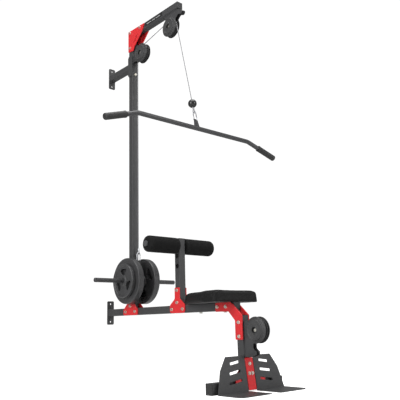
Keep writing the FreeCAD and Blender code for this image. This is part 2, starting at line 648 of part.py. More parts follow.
def carriage():
    half = SLEEVE / 2.0
    z0, z1 = SLEEVE_Z
    save("carriage_sleeve", square_sleeve(SLEEVE, SLEEVE_WALL, z0, z1))
    liner_outer = SLEEVE - 2 * SLEEVE_WALL
    liner_wall = liner_outer / 2 - HALF - GAP
    liners = [square_sleeve(liner_outer, liner_wall, z0, z0 + 25), square_sleeve(liner_outer, liner_wall, z1 - 25, z1)]
    save("carriage_liners", liners)
    cheek = side_plate([(MAST_OUT - half, z0 + 15), (MAST_OUT - half, z1 - 25), (MAST_OUT + half, z1 - 25),
                        (PEG_OUT + 30, PEG_Z + 25), (PEG_OUT + 30, PEG_Z - 25), (MAST_OUT + half, z0 + 15)],
                       CHEEK_X[0], CHEEK_X[1], 4)
    save("carriage_cheeks", both_sides(cheek))
    face = MAST_OUT + half
    lug = side_plate([(face, z1 - 70), (face, z1 - 2), (CABLE_OUT - 10, LUG_Z + 13), (CABLE_OUT + 12, LUG_Z + 13),
                      (CABLE_OUT + 12, LUG_Z - 16)], -3, 3, [0, 0, 4, 8, 8])
    save("carriage_lug", drill(lug, [(CABLE_OUT, LUG_Z)], 10, HOOK_HOLE_R))
    peg = rod_x(CHEEK_X[1], PEG_END, PEG_OUT, PEG_Z, PEG_R)
    tip = [e for e in peg.Edges if abs(e.BoundBox.XMax - PEG_END) < 0.01 and e.BoundBox.XLength < 0.01]
    peg = peg.makeFillet(3.0, tip)
    groove = ring_x(PEG_GROOVE[0], PEG_GROOVE[1], PEG_OUT, PEG_Z, PEG_R + 1, PEG_R - 0.5)
    peg = peg.cut(groove)
    collar = ring_x(CHEEK_X[1], COLLAR_END, PEG_OUT, PEG_Z, 29.0, PEG_R)
    save("weight_pegs", both_sides(peg.fuse(collar).removeSplitter()))
    save("carriage_buffer", square_sleeve(60.0, 10.0, 425.0, z0 - GAP))


# ---- rollers and seat ----
def rollers():
    save("roller_pipe", rod_x(-PIPE_HALF, PIPE_HALF, POST_OUT, ROLLER_Z, PIPE_R)
         .cut(rod_x(-PIPE_HALF, PIPE_HALF, POST_OUT, ROLLER_Z, PIPE_R - 2)))
    x0, x1 = ROLLER_X
    for name, side in (("left_roller", -1), ("right_roller", 1)):
        foam = rod_x(x0, x1, POST_OUT, ROLLER_Z, ROLLER_R)
        foam = foam.makeFillet(7.0, [e for e in foam.Edges if e.Closed])
        foam = foam.cut(rod_x(x0, x1, POST_OUT, ROLLER_Z, PIPE_R + FIT))
        save(name, foam if side > 0 else foam.mirror(Vector(0, 0, 0), X_AXIS))
    flange = rod_x(x1 + 1.5, PIPE_HALF + 3, POST_OUT, ROLLER_Z, 15.0)
    cap = flange.cut(rod_x(x1, PIPE_HALF, POST_OUT, ROLLER_Z, PIPE_R))
    cap = cap.fuse(rod_x(PIPE_HALF - 12, PIPE_HALF + 1, POST_OUT, ROLLER_Z, PIPE_R - 2 - FIT))
    save("pipe_caps", both_sides(cap.removeSplitter()))


def seat_outline(inset, z):
    nose, half = SEAT_NOSE - inset, SEAT_HALF - inset
    rear, front = SEAT_REAR + inset, SEAT_FRONT - inset
    plan = [(-nose, rear), (nose, rear), (half, SEAT_HIP), (half, front), (-half, front), (-half, SEAT_HIP)]
    nose_r, hip_r, front_r = 24.0, 40.0, 28.0
    radii = [nose_r, nose_r, hip_r, front_r - inset / 2, front_r - inset / 2, hip_r]
    return Part.Face(rounded_loop([at(x, out, z) for x, out in plan], radii))


def seat():
    low, high = BOARD_Z
    board = seat_outline(5.0, low).extrude(Vector(0, 0, high - low))
    for out in SEAT_BOLTS:
        board = board.cut(rod(at(0, out, low), at(0, out, high), BOLT_R + FIT))
    save("seat_board", board)
    pad = seat_outline(0.0, PAD_LOW).extrude(Vector(0, 0, PAD_TOP - PAD_LOW))
    top_edges = [e for e in pad.Edges if abs(e.BoundBox.ZMin - PAD_TOP) < 0.01]
    pad = pad.makeFillet(9.0, top_edges)
    save("seat_pad", pad.cut(seat_outline(4.5, PAD_LOW - 1).extrude(Vector(0, 0, high + 1 - PAD_LOW))))
    bolts = []
    for out in SEAT_BOLTS:
        under = at(0, out, BEAM_Z - HALF)
        head = hexagon(under - Vector(0, 0, 1.5), Vector(0, 0, -1), 13.0, 5.5)
        washer = rod(under - Vector(0, 0, 1.5), under, 8.5)
        bolts.append(head.multiFuse([washer, rod(under, at(0, out, high), BOLT_R)]).removeSplitter())
    save("seat_bolts", bolts)


# ---- foot plates ----
def lean_point(x, height, depth=0.0):
    """Point on the leaning foot panel: height above the floor, depth behind its front face."""
    angle = math.radians(FOOT_LEAN)
    out = FOOT_BEND - height * math.tan(angle) - depth / math.cos(angle)
    return at(x, out, height)


def lean_slab(corners, depth, thick, radii):
    """Slab parallel to the leaning panels from (x, height) corners."""
    points = [lean_point(x, height, depth) for x, height in corners]
    angle = math.radians(FOOT_LEAN)
    inward = Vector(0, math.cos(angle), -math.sin(angle))
    return Part.Face(rounded_loop(points, radii)).extrude(inward * thick)


def foot_bolt_hole(x, height, radius=BOLT_R + FIT):
    """Hole square to the leaning strip, from its front face into the front leg."""
    angle = math.radians(FOOT_LEAN)
    inward = Vector(0, math.cos(angle), -math.sin(angle))
    start = lean_point(x, height)
    return rod(start - inward * 10, start + inward * 45, radius)


def foot_plates():
    panel = lean_slab([(FOOT_INNER, 2.0), (FOOT_INNER, FOOT_TOP), (146.0, FOOT_TOP), (188.0, 98.0),
                       (FOOT_OUTER, 2.0)], 0, FOOT_SHEET, [0, 6, 6, 40, 0])
    for height, inner, length in ((128.0, 65.0, 58.0), (88.0, 64.0, 68.0), (48.0, 60.0, 80.0)):
        rise = length * math.tan(math.radians(8))
        slot = lean_slab([(inner, height), (inner + length, height - rise), (inner + length, height + 11 - rise),
                          (inner, height + 11)], -2, FOOT_SHEET + 4, [2, 2, 2, 2])
        panel = panel.cut(slot)
    floor = [at(FOOT_INNER, FOOT_BEND - 1, 0), at(FOOT_OUTER, FOOT_BEND - 1, 0), at(FOOT_OUTER, DEPTH - 18, 0),
             at(FOOT_OUTER - 18, DEPTH, 0), at(FOOT_INNER, DEPTH, 0)]
    tread = Part.Face(rounded_loop(floor, [0, 0, 6, 6, 6])).extrude(Vector(0, 0, FOOT_SHEET))
    right = panel.fuse(tread).removeSplitter()
    save("foot_plates", [right, right.mirror(Vector(0, 0, 0), X_AXIS)])

    angle = math.radians(FOOT_LEAN)
    inward = Vector(0, math.cos(angle), -math.sin(angle))
    link = lean_slab([(-20.0, 8.0), (-20.0, 20.0), (-95.0, 20.0), (-95.0, 78.0), (-20.0, 78.0), (-20.0, 138.0),
                      (20.0, 138.0), (20.0, 78.0), (95.0, 78.0), (95.0, 20.0), (20.0, 20.0), (20.0, 8.0)],
                     FOOT_SHEET + FIT, PLATE, [3, 3, 6, 6, 3, 6, 6, 3, 6, 6, 3, 3])
    strip = lean_slab([(-25.0, 6.0), (-25.0, 147.0), (25.0, 147.0), (25.0, 6.0)], 0, FOOT_SHEET + 1, [3, 6, 6, 3])
    face = LEG_OUT + HALF
    stand_off = side_plate([(face, 62.0), (face, 134.0), (1143.0, 134.0), (1153.0, 62.0)], -18.0, 18.0)
    link = link.multiFuse([strip, stand_off]).removeSplitter()
    bolts = []
    for x, height in FOOT_BOLTS:
        link = link.cut(foot_bolt_hole(x, height))
        front = lean_point(x, height)
        head = hexagon(front - inward * 1.2, inward * -1, 12.0, 4.5)
        washer = rod(front - inward * 1.2, front, 8.0)
        bolts.append(head.multiFuse([washer, rod(front, front + inward * 32, BOLT_R)]).removeSplitter())
    save("foot_link_bracket", link)
    save("foot_plate_bolts", bolts)


def name_panels():
    panel = side_plate([(400.0, ARM_Z - 11), (400.0, ARM_Z + 13), (570.0, ARM_Z + 13), (570.0, ARM_Z - 11)],
                       HALF, HALF + 1, 3)
    save("arm_panels", both_sides(panel))


frame_tubes()
tube_caps()
wall_parts()
brackets()
pulley_brackets()
pulleys()
cables()
lat_bar()
weights()
carriage()
rollers()
seat()
foot_plates()
name_panels()
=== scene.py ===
# %% [markdown]
# A lat pulldown machine: from the bare steel model to the finished look.
# The steel frame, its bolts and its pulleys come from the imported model, which fixes every size.
# This lesson adds what metal drawings leave out: the padded seat, the foam rollers, the twisted
# cable, soft edges on the pressed plates, weld beads, and a finish for every surface.

# %% The frame and the tools
import bmesh
import bpy
import json
import math
from mathutils import Matrix, Vector

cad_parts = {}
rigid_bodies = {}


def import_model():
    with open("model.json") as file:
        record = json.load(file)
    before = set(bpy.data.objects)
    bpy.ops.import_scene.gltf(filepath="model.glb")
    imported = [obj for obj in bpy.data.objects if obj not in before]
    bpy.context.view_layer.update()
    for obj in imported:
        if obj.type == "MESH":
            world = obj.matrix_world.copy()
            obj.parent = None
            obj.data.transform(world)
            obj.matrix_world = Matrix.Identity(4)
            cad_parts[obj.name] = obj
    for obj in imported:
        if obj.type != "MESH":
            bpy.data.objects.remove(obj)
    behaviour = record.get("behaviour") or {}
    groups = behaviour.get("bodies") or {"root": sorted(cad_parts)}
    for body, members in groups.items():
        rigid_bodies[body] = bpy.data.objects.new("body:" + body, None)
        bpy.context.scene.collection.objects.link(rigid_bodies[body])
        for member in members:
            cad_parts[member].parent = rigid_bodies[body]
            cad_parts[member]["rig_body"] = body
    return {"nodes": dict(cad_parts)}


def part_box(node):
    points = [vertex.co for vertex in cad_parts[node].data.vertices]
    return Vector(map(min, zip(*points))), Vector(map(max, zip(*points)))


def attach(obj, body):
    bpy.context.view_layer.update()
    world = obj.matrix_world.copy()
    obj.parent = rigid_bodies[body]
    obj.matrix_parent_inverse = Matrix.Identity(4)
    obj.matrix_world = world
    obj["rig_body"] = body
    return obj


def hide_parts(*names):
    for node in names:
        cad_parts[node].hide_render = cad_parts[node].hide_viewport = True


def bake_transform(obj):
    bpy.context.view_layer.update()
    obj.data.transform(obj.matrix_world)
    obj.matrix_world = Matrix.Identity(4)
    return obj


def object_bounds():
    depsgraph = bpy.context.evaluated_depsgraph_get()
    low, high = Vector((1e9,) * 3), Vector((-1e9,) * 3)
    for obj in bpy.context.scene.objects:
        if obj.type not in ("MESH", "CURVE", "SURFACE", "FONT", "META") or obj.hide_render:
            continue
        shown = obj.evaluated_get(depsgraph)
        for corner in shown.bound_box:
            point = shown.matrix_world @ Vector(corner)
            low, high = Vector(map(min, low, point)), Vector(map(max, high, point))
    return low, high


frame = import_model()
CAD_LOW, CAD_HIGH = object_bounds()
WALL = CAD_HIGH[1]
print("machine: %.3f m wide, %.3f m deep, %.3f m tall" % tuple(CAD_HIGH[i] - CAD_LOW[i] for i in range(3)))


def place(x, out, height):
    """A point from its side offset, its distance out from the wall and its height, in millimetres."""
    return Vector((x / 1000, WALL - out / 1000, height / 1000))


# %% [markdown]
# The camera stands low and to the user's left, and looks up a little, which makes the machine tower.
# A camera's own axes are its right, its up and the way behind it. Building the three from a turn, a
# rise and a roll, in that order, is clearer than guessing three Euler angles.

# %% The camera
CAMERA_PLACE = place(-1992.36, 3054.5, 306.88)
TURN, RISE, ROLL = math.radians(42.02), math.radians(11.94), math.radians(-1.49)
FOCAL_LENGTH = 52.29

ahead = Vector((math.sin(TURN) * math.cos(RISE), math.cos(TURN) * math.cos(RISE), math.sin(RISE)))
level = ahead.cross(Vector((0, 0, 1))).normalized()
upright = level.cross(ahead)
right = level * math.cos(ROLL) + upright * math.sin(ROLL)
up = upright * math.cos(ROLL) - level * math.sin(ROLL)
camera = bpy.data.objects.new("camera", bpy.data.cameras.new("camera"))
bpy.context.scene.collection.objects.link(camera)
camera.matrix_world = Matrix.Translation(CAMERA_PLACE) @ Matrix((right, up, -ahead)).transposed().to_4x4()
camera.data.lens = FOCAL_LENGTH
camera.data.sensor_width = 36.0
camera.data.clip_end = 100.0
bpy.context.scene.camera = camera
print("camera %.2f m from the machine's middle" % CAMERA_PLACE.length)

# %% [markdown]
# Shader graphs are easier to read as sums. A Value wraps one socket, and each operator on it adds
# one Math node, so 1 - mask means what it says. Finish holds a material while it is being made:
# its node method adds any other node, settings first, then the values or links of its sockets.


# %% Arithmetic on sockets
class Value:
    """One output socket that takes part in arithmetic."""

    def __init__(self, finish, socket):
        self.finish, self.socket = finish, socket

    def maths(self, operation, first, second):
        return self.finish.node("ShaderNodeMath", {"operation": operation}, {0: first, 1: second})

    def __add__(self, other):
        return self.maths("ADD", self, other)

    def __sub__(self, other):
        return self.maths("SUBTRACT", self, other)

    def __rsub__(self, other):
        return self.maths("SUBTRACT", other, self)

    def __mul__(self, other):
        return self.maths("MULTIPLY", self, other)

    def sine(self):
        return self.maths("SINE", self, 0.0)

    def between(self, low, high):
        """1 where the value lies from low to high, and 0 elsewhere."""
        return self.maths("GREATER_THAN", self, low) * self.maths("LESS_THAN", self, high)

    __radd__ = __add__
    __rmul__ = __mul__


# %% A finish in the making
class Finish:
    """A material with one Principled shader, built from Object coordinates."""

    def __init__(self, name):
        self.material = bpy.data.materials.new(name)
        self.material.use_nodes = True
        self.tree = self.material.node_tree
        self.shader = self.tree.nodes["Principled BSDF"]
        self.where = self.node("ShaderNodeTexCoord", {}, {}, "Object")

    def feed(self, socket, value):
        if isinstance(value, Value):
            self.tree.links.new(value.socket, socket)
        else:
            socket.default_value = value

    def node(self, kind, settings, sockets, output=0):
        made = self.tree.nodes.new(kind)
        for key, value in settings.items():
            setattr(made, key, value)
        for key, value in sockets.items():
            self.feed(made.inputs[key], value)
        return Value(self, made.outputs[output])

    def noise(self, scale, detail=2.0, where=None):
        sockets = {"Vector": where or self.where, "Scale": scale, "Detail": detail}
        return self.node("ShaderNodeTexNoise", {}, sockets)

    def cells(self, scale, where=None):
        return self.node("ShaderNodeTexVoronoi", {}, {"Vector": where or self.where, "Scale": scale})

    def stretched(self, factors, middle=(0, 0, 0), turn=(0, 0, 0)):
        sockets = {"Vector": self.where, "Location": middle, "Rotation": turn, "Scale": factors}
        return self.node("ShaderNodeMapping", {}, sockets)

    def along(self, axis, where=None):
        return self.node("ShaderNodeSeparateXYZ", {}, {0: where or self.where}, axis)

    def ramp(self, value, low, high, start=0.0, end=1.0):
        sockets = {"Value": value, "From Min": low, "From Max": high, "To Min": start, "To Max": end}
        return self.node("ShaderNodeMapRange", {"interpolation_type": "SMOOTHSTEP"}, sockets)

    def blend(self, amount, first, second):
        return self.node("ShaderNodeMix", {"data_type": "RGBA"}, {0: amount, 6: first, 7: second}, 2)

    def bump(self, height, depth, under=None):
        """Raise the surface by height (0 to 1) times depth in metres, over an earlier bump if given."""
        sockets = {"Height": height, "Distance": depth, "Strength": 1.0}
        if under is not None:
            sockets["Normal"] = under
        return self.node("ShaderNodeBump", {}, sockets)

    def done(self, sockets):
        for key, value in sockets.items():
            self.feed(self.shader.inputs[key], value)
        return self.material


def shade(colour, factor):
    """A colour made darker or lighter, with its alpha."""
    return tuple(channel * factor for channel in colour) + (1.0,)


# %% [markdown]
# Powder coat is paint baked from dust. It flows almost level, so it keeps a faint orange peel, a
# little cloudiness, and a satin gloss that changes slightly from place to place. The frame is
# charcoal with a fine sand in it, and the bolted brackets are a smoother, glossier red.


# %% Powder coats
def powder_coat(name, colour, roughness, sand, speck=0.0):
    coat = Finish(name)
    clouds = coat.noise(11.0, 4.0)
    grain = coat.noise(1300.0, 3.0)
    peel = coat.noise(260.0, 2.0)
    tone = clouds * 0.6 + grain * 0.4
    lightest = shade(colour, 1.22)
    body = coat.blend(tone, shade(colour, 0.8), lightest)
    if speck > 0:
        flecks = coat.ramp(coat.noise(2100.0, 1.0), 0.62, 0.75)
        body = coat.blend(flecks * speck, body, shade(colour, 3.0))
    gloss = roughness + clouds * 0.14 - 0.07 + grain * 0.06
    relief = coat.bump(grain, sand, coat.bump(peel, 0.00022))
    return coat.done({"Base Color": body, "Roughness": gloss, "Normal": relief,
                      "Metallic": 0.0, "Specular IOR Level": 0.5})


CHARCOAL = (0.036, 0.036, 0.0375)
RED = (0.60, 0.016, 0.020)
charcoal_coat = powder_coat("charcoal powder coat", CHARCOAL, 0.46, 0.00016, speck=0.25)
red_coat = powder_coat("red powder coat", RED, 0.30, 0.00004)
bar_coat = powder_coat("satin bar coat", (0.036, 0.036, 0.038), 0.33, 0.00006)
print("powder coats:", charcoal_coat.name, "|", red_coat.name, "|", bar_coat.name)

# %% [markdown]
# Plates slide on and off the pegs, so the coat there is rubbed along the peg into fine bright lines.
# Noise that is stretched along one axis turns into such lines, and a threshold keeps only its peaks.


# %% Rubbed pegs
def rubbed_coat(name, colour, stretch):
    coat = Finish(name)
    streaks = coat.noise(60.0, 5.0, coat.stretched(stretch))
    worn = coat.ramp(streaks, 0.58, 0.72)
    grain = coat.noise(900.0, 2.0)
    body = coat.blend(worn * 0.55, coat.blend(grain, shade(colour, 0.8), shade(colour, 1.2)),
                      (0.22, 0.22, 0.225, 1.0))
    return coat.done({"Base Color": body, "Metallic": worn * 0.6, "Roughness": 0.42 - worn * 0.14,
                      "Normal": coat.bump(grain - worn * 0.5, 0.00006)})


peg_coat = rubbed_coat("rubbed peg coat", (0.038, 0.038, 0.040), (0.6, 18.0, 18.0))
mast_coat = rubbed_coat("rubbed sleeve coat", CHARCOAL, (14.0, 14.0, 0.5))

# %% [markdown]
# Zinc plate is a thin bright metal with a warm or bluish bloom. Its colour drifts over millimetres,
# and tumbling in the barrel leaves fine dents. Chrome on the hooks is smoother and whiter.


# %% Plated steel
def plated(name, cool, warm, roughness, dents, metallic=1.0):
    metal = Finish(name)
    bloom = metal.noise(95.0, 3.0)
    dented = metal.noise(1600.0, 2.0)
    return metal.done({"Base Color": metal.blend(bloom, cool, warm), "Metallic": metallic,
                       "Roughness": roughness + dented * 0.12 - 0.03,
                       "Normal": metal.bump(dented, dents)})


zinc = plated("zinc plate", (0.74, 0.76, 0.78, 1), (0.82, 0.76, 0.58, 1), 0.26, 0.00005)
chrome = plated("bright hook plate", (0.50, 0.51, 0.53, 1), (0.38, 0.38, 0.40, 1), 0.20, 0.00002)
race_steel = plated("ground race steel", (0.52, 0.53, 0.55, 1), (0.60, 0.60, 0.60, 1), 0.22, 0.00001)
wire = plated("galvanised wire", (0.36, 0.36, 0.37, 1), (0.26, 0.26, 0.27, 1), 0.50, 0.00004, 0.35)

# %% [markdown]
# Moulded nylon and rubber are black, but never one flat black. The mould's spark-eroded skin gives
# plastic a fine matt grain, and rubber blooms to a slightly greyer, duller tone in patches.


# %% Plastic and rubber
def moulded(name, colour, roughness, grain_scale, grain_depth, bloom=0.35):
    black = Finish(name)
    patches = black.noise(24.0, 4.0)
    skin = black.noise(grain_scale, 2.0)
    body = black.blend(patches, shade(colour, 1 - bloom), shade(colour, 1 + bloom))
    return black.done({"Base Color": body, "Roughness": roughness + patches * 0.16 - 0.08,
                       "Normal": black.bump(skin, grain_depth)})


cap_plastic = moulded("cap plastic", (0.022, 0.022, 0.023), 0.46, 1400.0, 0.00006)
wheel_plastic = moulded("wheel nylon", (0.030, 0.030, 0.031), 0.42, 1100.0, 0.00005)
ball_plastic = moulded("gloss ball plastic", (0.012, 0.012, 0.012), 0.13, 60.0, 0.00002, bloom=0.2)
shoe_rubber = moulded("shoe rubber", (0.016, 0.016, 0.016), 0.62, 800.0, 0.00012)
cap_grey = moulded("grey pipe cap", (0.060, 0.060, 0.063), 0.48, 1400.0, 0.00005, bloom=0.2)
board_paint = moulded("board paint", (0.012, 0.012, 0.012), 0.60, 300.0, 0.00015)
print("finishes so far:", len(bpy.data.materials))

# %% [markdown]
# A pulley cover is turned or moulded with fine rings that run round its hub. The distance from the
# hub's axis is the length of a vector whose X has been set to nothing, and a sine of that distance
# gives the rings. Each cover has its own hub, so each gets its own finish from one function.

# %% Ringed pulley plastic
HUBS = {"rear": (345.0, 1957.0), "front": (628.0, 2013.0), "low": (1212.0, 269.0)}
RING_PITCH = 0.0011


def ringed_plastic(name, hub):
    ringed = Finish(name)
    middle = place(0, *hub)
    flat = ringed.stretched((0.0, 1.0, 1.0), (0.0, -middle.y, -middle.z))
    radius = ringed.node("ShaderNodeVectorMath", {"operation": "LENGTH"}, {0: flat}, "Value")
    rings = (radius * (2 * math.pi / RING_PITCH)).sine() * 0.5 + 0.5
    patches = ringed.noise(30.0, 3.0)
    skin = ringed.noise(1200.0, 2.0)
    body = ringed.blend(patches * 0.6 + rings * 0.4, (0.026, 0.026, 0.027, 1), (0.046, 0.046, 0.047, 1))
    relief = ringed.bump(skin, 0.00005, ringed.bump(rings, 0.00009))
    return ringed.done({"Base Color": body, "Roughness": 0.40 + patches * 0.1, "Normal": relief})


cover_plastics = {key: ringed_plastic(key + " cover plastic", hub) for key, hub in HUBS.items()}

# %% [markdown]
# The weight plates are rough cast iron under thick grey enamel. The casting's pebbled skin shows
# through as soft dimples a few millimetres across, and the enamel is glossy on top of them.

# %% Enamelled iron
iron = Finish("hammered grey enamel")
pebbles = iron.cells(330.0)
lumps = iron.noise(90.0, 3.0)
fine = iron.noise(700.0, 2.0)
iron_body = iron.blend(lumps * 0.7 + pebbles * 0.3, (0.024, 0.024, 0.025, 1), (0.050, 0.050, 0.052, 1))
iron_relief = iron.bump(fine, 0.00008, iron.bump(pebbles * 0.6 + lumps * 0.4, 0.00055))
enamel = iron.done({"Base Color": iron_body, "Roughness": 0.34 + fine * 0.12, "Normal": iron_relief,
                    "Coat Weight": 0.25 * lumps, "Coat Roughness": 0.2})

# %% [markdown]
# Closed-cell foam is matt and nearly black. Under the light its skin shows tiny broken cells, and
# the seat's vinyl shows a pressed leather grain: rounded pebbles with thin valleys between them.

# %% Foam and vinyl
foam = Finish("black foam")
bubbles = foam.cells(620.0)
foam_tone = foam.noise(40.0, 4.0)
foam_body = foam.blend(foam_tone * 0.6 + bubbles * 0.4,
                       (0.0045, 0.0045, 0.0045, 1), (0.011, 0.011, 0.011, 1))
black_foam = foam.done({"Base Color": foam_body, "Roughness": 0.78 + foam_tone * 0.16,
                        "Normal": foam.bump(bubbles, 0.00035), "Specular IOR Level": 0.18})

vinyl = Finish("black seat vinyl")
pores = vinyl.cells(520.0)
creases = vinyl.noise(140.0, 5.0)
vinyl_body = vinyl.blend(pores * 0.5 + creases * 0.5,
                         (0.0040, 0.0040, 0.0040, 1), (0.0095, 0.0095, 0.0095, 1))
vinyl_relief = vinyl.bump(creases, 0.00020, vinyl.bump(pores, 0.00030))
seat_vinyl = vinyl.done({"Base Color": vinyl_body, "Roughness": 0.52 + creases * 0.18 - 0.05,
                         "Normal": vinyl_relief, "Specular IOR Level": 0.16})

# %% [markdown]
# The arm carries a glossy black film on each side. A maker would print a name there. Here it has
# plain pale bars, cut out of the film's length and height with two between() tests.

# %% The film on the arm
film = Finish("arm film")
film_out = WALL - film.along("Y")
film_height = film.along("Z")
bars = film_out.between(0.418, 0.462) + film_out.between(0.470, 0.500) + film_out.between(0.508, 0.552)
band = film_height.between(2.1165, 2.1205)
print_wear = film.ramp(film.noise(900.0, 2.0), 0.25, 0.4)
arm_film = film.done({"Base Color": film.blend(bars * band * print_wear, (0.012, 0.012, 0.012, 1),
                                              (0.42, 0.42, 0.42, 1)),
                      "Roughness": 0.24 + film.noise(50.0, 3.0) * 0.1})

# %% [markdown]
# So each piece starts from nothing selected, and these small helpers keep that habit in one place.


# %% Helpers for modelling
def only(obj):
    """Select and activate one object, and nothing else."""
    bpy.ops.object.select_all(action="DESELECT")
    obj.select_set(True)
    bpy.context.view_layer.objects.active = obj


def select_parts(obj, kind, test):
    """In edit mode, select just the vertices, edges or faces that pass a test on their middle."""
    shape = bmesh.from_edit_mesh(obj.data)
    bpy.ops.mesh.select_all(action="DESELECT")
    for part in getattr(shape, kind):
        points = [part.co] if kind == "verts" else [v.co for v in part.verts]
        if test(sum(points, Vector()) / len(points)):
            part.select_set(True)
    shape.select_flush(True)
    bmesh.update_edit_mesh(obj.data)


def finished(obj, name, material, body, replaced=(), angle=35.0):
    """Name the piece, smooth its round faces, give it its finish, and let it ride on a body."""
    obj.name = obj.data.name = name
    obj.data.materials.clear()
    obj.data.materials.append(material)
    only(obj)
    bpy.ops.object.shade_smooth_by_angle(angle=math.radians(angle))
    if replaced:
        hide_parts(*replaced)
    if body:
        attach(obj, body)
    print("%-24s %6d faces" % (name, len(obj.data.polygons)))
    return obj


# %% [markdown]
# Anything round is turned, as on a lathe: half of its outline is drawn by extruding one vertex from
# corner to corner, and spin sweeps that line round the axis. The ends on the axis are then merged,
# and the normals are made to point outwards.


# %% Turning on a lathe
def turned(profile, base, along, side, steps=48):
    """Sweep (distance along, radius) points round the axis that runs from base along a direction."""
    points = [base + along * step + side * radius for step, radius in profile]
    bpy.ops.object.select_all(action="DESELECT")
    bpy.ops.mesh.primitive_plane_add(size=0.01, location=points[0])
    obj = bpy.context.object
    bpy.ops.object.transform_apply(location=True, rotation=True, scale=True)
    bpy.ops.object.mode_set(mode="EDIT")
    bpy.ops.mesh.select_all(action="SELECT")
    bpy.ops.mesh.merge(type="CENTER")
    for before, after in zip(points, points[1:]):
        bpy.ops.mesh.extrude_region_move(TRANSFORM_OT_translate={"value": after - before})
    bpy.ops.mesh.select_all(action="SELECT")
    bpy.ops.mesh.spin(steps=steps, angle=2 * math.pi, center=base, axis=along)
    bpy.ops.mesh.select_all(action="SELECT")
    bpy.ops.mesh.remove_doubles(threshold=0.00002)
    bpy.ops.mesh.normals_make_consistent(inside=False)
    bpy.ops.object.mode_set(mode="OBJECT")
    return obj


def rounded(corner, radius, before, after, steps=4):
    """Points of an arc that rounds one corner of a profile, towards its two neighbours."""
    corner, before, after = Vector(corner), Vector(before), Vector(after)
    start = corner + (before - corner).normalized() * radius
    end = corner + (after - corner).normalized() * radius
    points = []
    for i in range(steps + 1):
        t = i / steps
        point = start * (1 - t) ** 2 + corner * 2 * t * (1 - t) + end * t ** 2
        points.append((point.x, point.y))
    return points


# %% [markdown]
# Each pulley has a round cover on both of its bracket plates: a thin flange, a stepped face with
# raised rings, and a deep well for the axle's head. All six come from one turned outline.

# %% Pulley covers
COVER_PROFILE = [
    # the well for the axle's head, and its lip
    (0.0, 0.0051), (0.0015, 0.0051), (0.0015, 0.0143), (0.0126, 0.0145), (0.0134, 0.0152),
    (0.0135, 0.0160), (0.0135, 0.0188), (0.0131, 0.0196), (0.0122, 0.0203), (0.0120, 0.0212),
    # the flat face and the ring round it
    (0.0120, 0.0392), (0.0123, 0.0402), (0.0132, 0.0411), (0.0135, 0.0418), (0.0135, 0.0442),
    (0.0131, 0.0454), (0.0120, 0.0464), (0.0100, 0.0469), (0.0085, 0.0472),
    # the steps down to the flange
    (0.0083, 0.0480), (0.0081, 0.0506), (0.0076, 0.0516), (0.0055, 0.0520), (0.0053, 0.0528),
    (0.0051, 0.0550), (0.0046, 0.0561), (0.0031, 0.0566), (0.0028, 0.0574), (0.0026, 0.0592),
    (0.0021, 0.0599), (0.0014, 0.0600), (0.0, 0.0600), (0.0, 0.0051)]
COVER_STEPS = 72
PLATE_OUTSIDE = 0.0135

for key, hub in HUBS.items():
    for side, word in ((-1, "left"), (1, "right")):
        outward = Vector((side, 0, 0))
        base = place(0, *hub) + outward * PLATE_OUTSIDE
        cover = turned(COVER_PROFILE, base, outward, Vector((0, 0, 1)), COVER_STEPS)
        finished(cover, "%s_cover_%s" % (key, word), cover_plastics[key], "frame", ["pulley_covers"], 28.0)

# %% [markdown]
# The thigh rollers are sleeves of foam pushed onto the pipe. A grinding wheel left fine rings round
# them, and their ends are well rounded. The rings are real here, each a shallow groove in the
# turned outline, so the edge of the roller shows them as well as its face.

# %% Foam rollers
PIPE_RADIUS = 0.01256
ROLLER_RADIUS = 0.043
ROLLER_ENDS = (0.0245, 0.2205)
ROLLER_STEPS = 56
RIDGE = 0.0035
RIDGE_DEPTH = 0.0008


def roller_profile():
    start, end = ROLLER_ENDS
    length = end - start
    points = [(0.0, PIPE_RADIUS)]
    points += rounded((0.0, ROLLER_RADIUS), 0.009, (0.0, 0.0), (length, ROLLER_RADIUS))
    count = int((length - 0.034) / RIDGE)
    for i in range(count):
        at = 0.012 + i * RIDGE
        points += [(at, ROLLER_RADIUS), (at + RIDGE * 0.36, ROLLER_RADIUS),
                   (at + RIDGE * 0.68, ROLLER_RADIUS - RIDGE_DEPTH)]
    points += rounded((length, ROLLER_RADIUS), 0.017, (0.0, ROLLER_RADIUS), (length, 0.0), 7)
    points += [(length, PIPE_RADIUS), (0.0, PIPE_RADIUS)]
    return points


roller_middle = place(0, 671.0, 712.0)
for side, word in ((-1, "left"), (1, "right")):
    outward = Vector((side, 0, 0))
    base = roller_middle + outward * ROLLER_ENDS[0]
    roller = turned(roller_profile(), base, outward, Vector((0, 0, 1)), ROLLER_STEPS)
    finished(roller, word + "_foam_sleeve", black_foam, "roller_" + word, [word + "_roller"], 50.0)

# %% [markdown]
# The hand grips are pushed over the bent ends of the bar: a thick rubber sleeve with a raised collar
# on its inner end, a row of shallow grip rings, and a closed, rounded outer end. The bar hangs on a
# leaning cable, so the grip's axis is built from the same lean and slope as the bar's.

# %% Hand grips
LEAN = math.radians(13.0)
HANG = Vector((0, -math.sin(LEAN), -math.cos(LEAN)))
CABLE_START = place(0, 628.0 + 50.0 * math.cos(LEAN), 2013.0 + 50.0 * math.sin(LEAN))
BAR_MIDDLE = CABLE_START + HANG * 0.711
BEND_OUT, END_OUT, END_DROP, GRIP_FROM_BEND = 0.390, 0.590, 0.071, 0.080
BAR_RADIUS = 0.0125
GRIP_RADIUS = 0.0170
COLLAR_RADIUS = 0.0178


